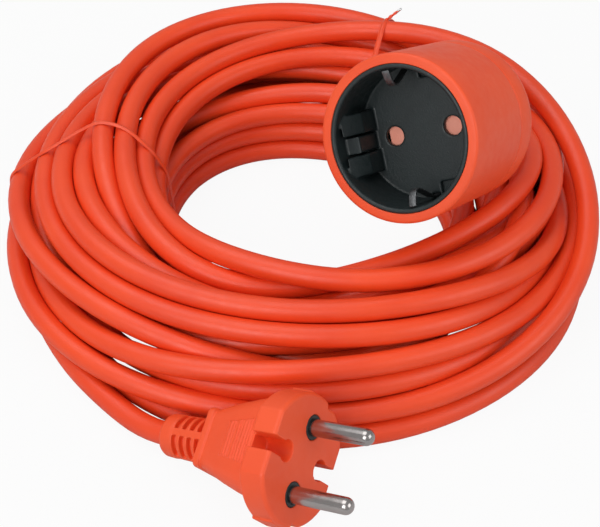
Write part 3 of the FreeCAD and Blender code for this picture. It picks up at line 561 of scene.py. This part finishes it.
def makeFloor():
    bm = bmesh.new()
    bmesh.ops.create_grid(bm, x_segments=1, y_segments=1, size=studio["floorSize"] / 2)
    floor = newObject("floor", bm)
    material, tree, shader = newMaterial("floorSheet")
    shader.inputs["Roughness"].default_value = studio["floorRough"]
    shader.inputs["Specular IOR Level"].default_value = studio["floorShine"]
    shader.inputs["Base Color"].default_value = (*studio["floorColour"], 1.0)
    light = tree.nodes.new("ShaderNodeEmission")
    light.inputs["Strength"].default_value = 1.0
    rays = tree.nodes.new("ShaderNodeLightPath")
    share = tree.nodes.new("ShaderNodeMath")
    share.operation = "MULTIPLY"
    share.inputs[1].default_value = studio["floorShare"]
    tree.links.new(rays.outputs["Is Camera Ray"], share.inputs[0])
    mixShaders(tree, share.outputs[0], shader, light, "Material Output")
    floor.data.materials.append(material)


# The camera sees plain white behind the object, and everything else sees the dimmer room.
def makeRoom():
    world = bpy.data.worlds.new("studio")
    bpy.context.scene.world = world
    world.use_nodes = True
    tree = world.node_tree
    plain = tree.nodes["Background"]
    white = tree.nodes.new("ShaderNodeBackground")
    for background, strength in ((plain, studio["world"]), (white, 1.0)):
        background.inputs["Color"].default_value = (1.0, 1.0, 1.0, 1.0)
        background.inputs["Strength"].default_value = strength
    rays = tree.nodes.new("ShaderNodeLightPath")
    mixShaders(tree, rays.outputs["Is Camera Ray"], plain, white, "World Output")
    for name, (place, size, power) in studio["lamps"].items():
        lamp = bpy.data.lights.new(name, "AREA")
        lamp.size = size
        lamp.energy = power
        holder = bpy.data.objects.new(name, lamp)
        holder.location = place
        holder.rotation_euler = (-Vector(place)).to_track_quat("-Z", "Y").to_euler()
        bpy.context.scene.collection.objects.link(holder)


makeFloor()
makeRoom()
print("floor and light set")


# Each tie lies in the upright plane from inner to outer, and bows out of it over the top of the bundle: the
# middle of the bow, half its length and how far it goes. The ends of the strip are twisted into a tail.
ties = {
    "left": {"inner": (-42.0, 6.0), "outer": (-98.0, 11.0), "stands": False, "bow": (24.0, 22.0, -6.5)},
    "top": {"inner": (18.7, 40.5), "outer": (34.3, 88.0), "stands": True, "bow": (24.0, 22.0, 0.0)},
    "bowHeight": (18.0, 30.0), "startBack": 45.0, "nearest": 20.0, "step": 1.6,
    "width": 1.9, "thick": 0.7, "gap": 0.2, "lift": 0.05,
    "section": ((-1, 0), (-1, 0.45), (-0.42, 0.6), (-0.22, 1), (0.22, 1), (0.42, 0.6), (1, 0.45), (1, 0)),
    "tailAt": 0.66, "tailLength": 5.5, "tailWay": (5.0, -4.0, 2.5), "sideHeight": 16.2, "sideLength": 6.0,
    "tailWidth": (0.8, 0.5), "tailFlat": 0.42, "tailTwist": 2.6, "wireOut": 1.6, "wire": 0.4,
    "topBand": 3.0, "footBand": 2.5, "footSunk": 0.2, "sideBand": 2.0, "sideSunk": 0.05, "sideLean": 0.04,
}


# The tightest line round the points, as a strip pulled round them lies.
def hullOf(points):
    points = sorted(set(points))

    def half(run):
        kept = []
        for p in run:
            while len(kept) > 1:
                (ax, ay), (bx, by) = kept[-2], kept[-1]
                if (bx - ax) * (p[1] - ay) - (by - ay) * (p[0] - ax) > 1e-6:
                    break
                kept.pop()
            kept.append(p)
        return kept[:-1]

    return half(points) + half(points[::-1])


# The closed line divided into equal steps.
def evenLoop(points, step):
    closed = points + points[:1]
    marks = [0.0]
    for a, b in zip(closed, closed[1:]):
        marks.append(marks[-1] + math.dist(a, b))
    count = int(marks[-1] / step)
    found, at = [], 0
    for i in range(count):
        want = marks[-1] * i / count
        while marks[at + 1] < want:
            at += 1
        t = (want - marks[at]) / max(marks[at + 1] - marks[at], 1e-9)
        found.append(tuple(p + (q - p) * t for p, q in zip(closed[at], closed[at + 1])))
    return found


def makeTie(name, look, line):
    inner, outer = Vector((*look["inner"], 0)), Vector((*look["outer"], 0))
    out = (outer - inner).normalized()
    across = Vector((0, 0, 1)).cross(out)
    origin = inner - out * ties["startBack"]

    def bowAt(r, z):
        middle, reach, size = look["bow"]
        low, high = ties["bowHeight"]
        away = min(abs(r - ties["startBack"] - middle) / reach, 1.0)
        return size * math.cos(away * math.pi / 2) ** 2 * min(max((z - low) / (high - low), 0.0), 1.0)

    # The strands that cross the tie's plane, as round spots with the strip's gap.
    spots = []
    radius = cordLook["thickness"] / 2 + ties["gap"]
    for a, b in zip(line, line[1:]):
        a, b = a / mm - pileShift, b / mm - pileShift
        da, db = ((p - origin).dot(across) - bowAt((p - origin).dot(out), p.z) for p in (a, b))
        if da * db <= 0 and da != db:
            p = a + (b - a) * (da / (da - db))
            r = (p - origin).dot(out)
            if r > ties["nearest"]:
                spots += [(round(x, 3), round(max(z, 0.0), 3)) for x, z in circle(radius, 24, r, p.z)]
    ring = evenLoop(hullOf(spots), ties["step"])
    for _ in range(2):
        ring = [((a[0] + 2 * b[0] + c[0]) / 4, (a[1] + 2 * b[1] + c[1]) / 4)
                for a, b, c in zip(ring[-1:] + ring[:-1], ring, ring[1:] + ring[:1])]
    rings = []
    for i, (r, z) in enumerate(ring):
        (ra, za), (rb, zb) = ring[i - 1], ring[(i + 1) % len(ring)]
        normal = Vector((zb - za, -(rb - ra))).normalized()
        lift = ties["lift"] if z > 1.0 else 0.0
        row = []
        for w, n in ties["section"]:
            w, n = w * ties["width"] / 2 + bowAt(r, z), n * ties["thick"] + lift
            p = origin + out * (r + normal.x * n) + across * w
            p.z = max(z + normal.y * n, 0.02)
            row.append(p)
        rings.append(row)
    bm = bmesh.new()
    addLoft(bm, rings, True)

    # The tail leans over the outer strand on the top, or lies along the outer side.
    if look["stands"]:
        topZ = max(z for r, z in ring)
        rs = [r for r, z in ring if z > topZ - ties["topBand"]]
        foot = min(rs) + (max(rs) - min(rs)) * ties["tailAt"]
        footZ = max(z for r, z in ring if abs(r - foot) < ties["footBand"]) - ties["footSunk"]
        base = origin + out * foot + Vector((0, 0, footZ))
        outward, sideways, upward = ties["tailWay"]
        way = (out * outward + across * sideways + Vector((0, 0, upward))).normalized()
        long = ties["tailLength"]
    else:
        wall = max(r for r, z in ring if abs(z - ties["sideHeight"]) < ties["sideBand"])
        base = origin + out * (wall - ties["sideSunk"]) + Vector((0, 0, ties["sideHeight"]))
        way = ((across if across.y > 0 else -across) + out * ties["sideLean"]).normalized()
        long = ties["sideLength"]
    sideA = way.orthogonal().normalized()
    sideB = way.cross(sideA)
    rings = []
    steps = 14
    for i in range(steps + 1):
        t = i / steps
        turn = ties["tailTwist"] * math.pi * t
        wide = ties["tailWidth"][0] + (ties["tailWidth"][1] - ties["tailWidth"][0]) * t
        row = []
        for u, v in circle(1.0, 10):
            u, v = u * wide, v * ties["tailFlat"]
            x, y = u * math.cos(turn) - v * math.sin(turn), u * math.sin(turn) + v * math.cos(turn)
            row.append(base + way * (long * t) + sideA * x + sideB * y)
        rings.append(row)
    addLoft(bm, rings)
    place = Matrix.Translation(pileShift * mm) @ Matrix.Scale(mm, 4)
    strip = newObject("tie" + name.capitalize() + "Strip", bm)
    rounder = strip.modifiers.new("round", "SUBSURF")
    rounder.levels = rounder.render_levels = 1
    bake(strip)
    setDown(strip, place, "tiePlastic", "tie_plastic", "tie_" + name)

    bm = bmesh.new()
    r, end = ties["wire"], ties["wireOut"]
    addTurned(bm, [(0, -1.0), (r, -1.0), (r, end - 0.35), (r * 0.7, end - 0.1), (0, end)], 20)
    tip = newObject("tie" + name.capitalize() + "WireTip", bm)
    lean = way.to_track_quat("Z", "Y").to_matrix().to_4x4()
    setDown(tip, place @ Matrix.Translation(base + way * long) @ lean, "tieWire", "tie_wire", "tie_" + name + "_wire")


for side in ("left", "top"):
    makeTie(side, ties[side], cordLine)
print("ties made")


# In millimetres from the face: Z runs out along the pins and X from one pin to the other. A grip has two
# halves and a corner radius, a skin its grain and rounds of smoothing, a slot edge a radius and two angles.
plug = {
    "disc": 18.5, "thick": 8.0, "flat": 16.2, "stepAt": 16.7, "lugReach": 18.7, "lugHalf": 4.0, "lugZ": (-7.9, -1.6),
    "keyAt": 9.0, "keyRadius": 3.0, "keySlot": 4.4, "keyDepth": 8.8, "keyOut": 21.0,
    "gripTop": (14.6, 13.2, 6.0), "gripTail": (7.6, 7.0, 2.2), "gripEnd": 30.0, "gripBow": 0.5,
    "frameOut": 1.1, "frameThick": 2.0, "skin": (0.24, 2), "bore": 3.55, "boreFrom": -27.5,
    "ribs": 10, "ribFrom": 1.9, "ribPitch": 1.1, "ribThick": 0.55, "ribHalf": 6.2, "ribHeight": 0.4,
    "pinAt": 9.5, "pin": 2.4, "pinLength": 19.0, "pinTip": (2.1, 2.2), "collar": 3.5,
    "pinShank": ((0, -12.0), (1.6, -12.0), (1.6, -8.0), (2.0, -8.0), (2.0, 0.1)),
    "bridge": (-13.0, 13.0, -4.0, 4.0, -8.0, -2.4),
    "reliefTop": 6.7, "reliefTail": 6.2, "reliefEnd": 46.5, "reliefCollar": 5.2, "reliefBore": 3.4,
    "slots": 4, "slotWidth": 1.7, "slotEdges": ((8.7, 9.0, 81.0), (4.6, 79.0, 11.0)), "reliefSkin": (0.22, 3),
}


def roundedRing(halfX, halfY, corner, z, steps=6):
    points = []
    for cx, cy, start in ((1, 1, 0), (-1, 1, 90), (-1, -1, 180), (1, -1, 270)):
        for i in range(steps + 1):
            a = math.radians(start + 90 * i / steps)
            x, y = cx * (halfX - corner), cy * (halfY - corner)
            points.append((x + corner * math.cos(a), y + corner * math.sin(a), z))
    return points


# The disc is round with two flats, and stepped in below the lugs.
def discOutline():
    points = []
    for x, y in circle(plug["disc"], 160):
        y = max(min(y, plug["flat"]), -plug["flat"])
        if y < -plug["lugHalf"]:
            x = max(min(x, plug["stepAt"]), -plug["stepAt"])
        points.append((x, y))
    return points


def makePlug():
    thick, end = plug["thick"], -plug["gripEnd"]
    bm = bmesh.new()
    rings = []  # each drawn in by so much at its height
    for shrink, z in ((0.9, 0.0), (0.35, -0.25), (0.0, -0.9), (0.0, -thick + 0.5), (0.6, -thick)):
        scale = 1 - shrink / plug["disc"]
        rings.append([(x * scale, y * scale, z) for x, y in discOutline()])
    addLoft(bm, rings[::-1])
    for sign in (1, -1):
        addBlock(bm, sign * (plug["stepAt"] - 2), sign * plug["lugReach"], -plug["lugHalf"], plug["lugHalf"],
                 *plug["lugZ"])
    hx, hy, corner = plug["gripTop"]
    tx, ty, tail = plug["gripTail"]
    top = -thick + 1
    rings = []
    for t in (0.0, 0.25, 0.5, 0.75, 1.0):
        bow = plug["gripBow"] * math.sin(math.pi * t)
        rings.append(roundedRing(hx + (tx - hx) * t + bow, hy + (ty - hy) * t + bow * 0.5,
                                 corner + (tail - corner) * t, top + (end - top) * t))
    addLoft(bm, rings[::-1])
    wide = plug["frameOut"]
    addLoft(bm, [roundedRing(tx + wide, ty + wide, tail, z) for z in (end, end + plug["frameThick"])])
    for i in range(plug["ribs"]):
        z = -thick - plug["ribFrom"] - i * plug["ribPitch"]
        t = (z - top) / (end - top)
        y = hy + (ty - hy) * t + plug["gripBow"] / 2 * math.sin(math.pi * t) + plug["ribHeight"]
        half = plug["ribHalf"] * (1 - 0.25 * i / plug["ribs"])
        addBlock(bm, -half, half, -y, y, z - plug["ribThick"], z)
    moulding = newObject("plugMoulding", bm)
    for sign in (1, -1):  # keyholes, open to the edge of the disc
        tools = bmesh.new()
        addRod(tools, plug["keyRadius"], -plug["keyDepth"], 1.0, 0.0, sign * plug["keyAt"])
        half = plug["keySlot"] / 2
        addBlock(tools, -half, half, sign * plug["keyAt"], sign * plug["keyOut"], -plug["keyDepth"], 1.0)
        cutAway(moulding, tools)
    for sign in (1, -1):  # seats of the collars
        tools = bmesh.new()
        addRod(tools, plug["collar"] + 0.05, -2.5, 1.0, sign * plug["pinAt"])
        cutAway(moulding, tools)
    tools = bmesh.new()
    addRod(tools, plug["bore"], end - 1, plug["boreFrom"], steps=48)
    cutAway(moulding, tools)
    soften(moulding, *plug["skin"])
    setDown(moulding, plugPlace, "moulding", "orange_moulding", "plug_body")


# The two black collars round the pins, on the piece that joins them inside.
def makeCollars():
    pin, collar = plug["pin"], plug["collar"]
    bm = bmesh.new()
    for sign in (1, -1):
        addTurned(bm, [(0, -2.5), (collar, -2.5), (collar, -0.2), (collar - 0.2, 0.02), (pin + 0.25, 0.02),
                       (pin + 0.1, -0.15), (0, -0.15)], 64, x=sign * plug["pinAt"])
    addBlock(bm, *plug["bridge"])
    collars = newObject("plugCollars", bm)
    crisp(collars)
    setDown(collars, plugPlace, "blackPlastic", "black_plastic", "plug_bridge")


def makePins():
    r, end = plug["pin"], plug["pinLength"]
    inward, rise = plug["pinTip"]
    steps = 8
    profile = [*plug["pinShank"], (r, 0.3), (r, end - rise)]
    for k in range(1, steps):
        a = math.pi / 2 * k / steps
        profile.append((r - inward * (1 - math.cos(a)), end - rise + rise * math.sin(a)))
    profile += [(r - inward, end), (0, end)]
    for name, sign in (("a", 1), ("b", -1)):
        bm = bmesh.new()
        addTurned(bm, profile, 64)
        pin = newObject("plugPin" + name.upper(), bm)
        crisp(pin, 50.0)
        place = plugPlace @ Matrix.Translation((sign * plug["pinAt"], 0, 0))
        setDown(pin, place, "platedPin", "plated_pin", "plug_pin_" + name)


def makePlugRelief():
    top, tail, bore = plug["reliefTop"], plug["reliefTail"], plug["reliefBore"]
    start, end = -plug["gripEnd"], -plug["reliefEnd"]
    bm = bmesh.new()
    addTurned(bm, [(bore, start), (top, start), (tail, end + plug["reliefCollar"]), (tail + 0.15, end + 4.0),
                   (tail, end + 1.2), (tail - 0.5, end + 0.3), (tail - 1.2, end), (bore, end)], 96, True)
    relief = newObject("plugRelief", bm)
    pitch = (start - end - plug["reliefCollar"]) / plug["slots"]
    for i in range(plug["slots"]):
        z = start - (i + 1) * pitch
        for quarter in range(4):
            outline = []
            for r, first, last in plug["slotEdges"]:
                for k in range(9):
                    a = math.radians(90 * quarter + first + (last - first) * k / 8)
                    outline.append((r * math.cos(a), r * math.sin(a)))
            tools = bmesh.new()
            addPrism(tools, outline, z, z + plug["slotWidth"])
            cutAway(relief, tools)
    soften(relief, *plug["reliefSkin"])
    setDown(relief, plugPlace, "moulding", "orange_moulding", "plug_strain_relief")


makePlug()
makeCollars()
makePins()
makePlugRelief()
print("plug made")


# In millimetres from the face: Z runs into the socket and X from one hole to the other. The block and the
# wedges of one side stand lower than the other side's. The strip's path and the dome's curve give distance
# out and depth.
socket = {
    "shell": 24.5, "insert": 21.5, "well": 20.0, "depth": 17.5, "floor": 1.6, "holeAt": 9.5, "hole": 2.85,
    "shellEnd": 40.5, "bore": 3.55, "groove": 33.0, "skin": (0.3, 2),
    "blockAt": 15.4, "blockHalf": 2.4, "blockTop": 6.0, "lower": 8.5,
    "wedgeX": 14.8, "wedgeY": (3.1, 9.2), "wedgeZ": (2.0, 9.5), "pocketX": (2.1, 7.6), "pocketY": 15.6,
    "stripHalf": 1.1, "stripThick": 0.6, "stripRoom": 0.25, "stripEdge": 0.12,
    "stripPath": ((19.75, 1.0), (18.9, 1.25), (17.6, 1.75), (16.3, 2.5), (15.5, 3.5), (15.3, 4.8), (15.8, 6.6),
                  (16.8, 9.0), (18.0, 11.6), (18.9, 13.6), (19.2, 15.4), (19.3, 17.5), (19.3, 20.0)),
    "domeCurve": ((23.3, 43.6), (21.9, 45.0), (19.8, 46.5), (17.0, 47.7), (13.4, 48.6), (10.2, 48.95),
                  (8.8, 49.2), (7.7, 49.9)),
    "reliefStart": 49.0, "reliefTop": 7.6, "reliefTail": 6.2, "reliefEnd": 58.0, "reliefBore": 3.4,
    "reliefGrooves": 3, "grooveFloor": 5.0,
}


# A turned piece of the socket's orange moulding.
def makeTurned(name, profile, steps, degrees, nodeName):
    bm = bmesh.new()
    addTurned(bm, profile, steps, True)
    piece = newObject(name, bm)
    crisp(piece, degrees)
    setDown(piece, socketPlace, "moulding", "orange_moulding", nodeName)


def makeShell():
    r, inside, end, g = socket["shell"], socket["insert"] + 0.03, socket["shellEnd"], socket["groove"]
    makeTurned("socketShell", [
        (inside, 0.15), (socket["insert"] + 0.2, 0.0), (r - 1.0, 0.0), (r - 0.45, 0.12), (r - 0.12, 0.45), (r, 1.0),
        (r, 12.0), (r, 25.0), (r, g - 0.1), (r - 0.12, g), (r - 0.45, g + 0.25), (r - 0.45, g + 0.6),
        (r - 0.1, g + 0.9), (r, g + 1.1), (r, end), (inside, end)], 160, 35.0, "socket_shell")
    bore, curve = socket["bore"], socket["domeCurve"]
    makeTurned("socketDome", [
        (bore, end + 0.1), (r - 0.02, end + 0.1), (r - 0.1, end + 1.1), (r - 0.45, end + 2.1), *curve,
        (bore, curve[-1][1])], 160, 35.0, "socket_dome")


def makeInsert():
    r, well, depth, floor = socket["insert"] - 0.02, socket["well"], socket["depth"], socket["floor"]
    wedgeX, (wedgeIn, wedgeOut), (wedgeTop, wedgeLow) = socket["wedgeX"], socket["wedgeY"], socket["wedgeZ"]
    bm = bmesh.new()
    addTurned(bm, [(well, depth + 0.1), (well, 0.6), (well + 0.2, 0.1), (well + 0.55, -0.2), (r - 0.33, -0.2),
                   (r, 0.05), (r, depth + 0.1)], 160, True)
    addTurned(bm, [(0, depth), (r, depth), (r, depth + floor), (0, depth + floor)], 160)
    wall = math.sqrt((well + 0.6) ** 2 - wedgeOut ** 2)
    for sign, lower in ((1, socket["lower"]), (-1, 0.0)):
        addBlock(bm, sign * socket["blockAt"], sign * (well + 0.6), -socket["blockHalf"], socket["blockHalf"],
                 socket["blockTop"] + lower, depth + 0.5)
        face = [(sign * wedgeX, min(wedgeLow + lower, depth - 1)), (sign * wedgeX, depth + 0.5),
                (sign * wall, depth + 0.5), (sign * wall, wedgeTop + lower)]
        for low, high in ((wedgeIn, wedgeOut), (-wedgeOut, -wedgeIn)):
            addLoft(bm, [[(x, y, z) for x, z in face] for y in (low, high)])
    insert = newObject("socketInsert", bm)
    for sign in (1, -1):
        tools = bmesh.new()
        addRod(tools, socket["hole"], depth - 2, depth + 4, sign * socket["holeAt"])
        cutAway(insert, tools)
    half = socket["stripHalf"] + socket["stripRoom"]
    for sign in (1, -1):
        for x0, x1, y0, y1, top in ((*socket["pocketX"], socket["pocketY"], well - 0.3, depth - 2),
                                    (-half, half, well - 1.4, well + 0.3, 0.3)):
            tools = bmesh.new()
            addBlock(tools, x0, x1, sign * y0, sign * y1, top, depth + 4)
            cutAway(insert, tools)
    soften(insert, *socket["skin"])
    setDown(insert, socketPlace, "blackPlastic", "black_plastic", "socket_insert", "socket_floor")


# The two earth strips, each bent from the rim in towards the axis and back out to the floor.
def makeStrips():
    half, thick, path = socket["stripHalf"], socket["stripThick"] / 2, socket["stripPath"]
    for name, sign in (("top", -1), ("bottom", 1)):
        left, right = [], []
        for i, (r, z) in enumerate(path):
            (ra, za), (rb, zb) = path[max(i - 1, 0)], path[min(i + 1, len(path) - 1)]
            run = math.hypot(rb - ra, zb - za)
            nr, nz = (zb - za) / run * thick, -(rb - ra) / run * thick
            left.append((r + nr, z + nz))
            right.append((r - nr, z - nz))
        bm = bmesh.new()
        addLoft(bm, [[(x, sign * y, z) for y, z in left + right[::-1]] for x in (-half, half)])
        piece = newObject("earthStrip" + name.capitalize(), bm)
        edge = piece.modifiers.new("edge", "BEVEL")
        edge.width = socket["stripEdge"]
        edge.segments = 2
        edge.limit_method = "ANGLE"
        edge.angle_limit = math.radians(50.0)
        bake(piece)
        crisp(piece, 60.0)
        setDown(piece, socketPlace, "greyMetal", "grey_metal", "socket_strip_" + name)


def makeSocketRelief():
    start, end, bore, floor = (socket[key] for key in ("reliefStart", "reliefEnd", "reliefBore", "grooveFloor"))
    top, tail, count = socket["reliefTop"], socket["reliefTail"], socket["reliefGrooves"]
    profile = [(bore, start), (top, start)]
    pitch = (end - start) / (count + 1)
    for i in range(count):
        z = start + pitch * (i + 0.6)
        r = top + (tail - top) * (z - start) / (end - start)
        profile += [(r, z - 0.15), (r - 0.15, z), (floor, z + 0.05), (floor, z + 0.95), (r - 0.15, z + 1.0),
                    (r, z + 1.15)]
    profile += [(tail, end - 0.9), (tail - 0.3, end - 0.3), (tail - 0.9, end), (bore, end)]
    makeTurned("socketRelief", profile, 96, 50.0, "socket_strain_relief")


makeShell()
makeInsert()
makeStrips()
makeSocketRelief()
print("socket made")


# The solids that stay as they are, each with its finish.
kept = {
    "plug_crimp_a": "brassMetal", "plug_crimp_b": "brassMetal", "plug_core_a": "brownCore", "plug_core_b": "blueCore",
    "socket_carrier": "blackPlastic", "socket_cap": "blackPlastic", "socket_shutter": "shutterPlasticPaintedLight",
    "socket_shutter_spring": "springSteel", "socket_contact_a": "brassMetal", "socket_contact_b": "brassMetal",
    "socket_core_a": "brownCore", "socket_core_b": "blueCore",
}
for nodeName, finish in kept.items():
    for materialSlot in nodes[nodeName].material_slots:
        materialSlot.material = materials[finish]
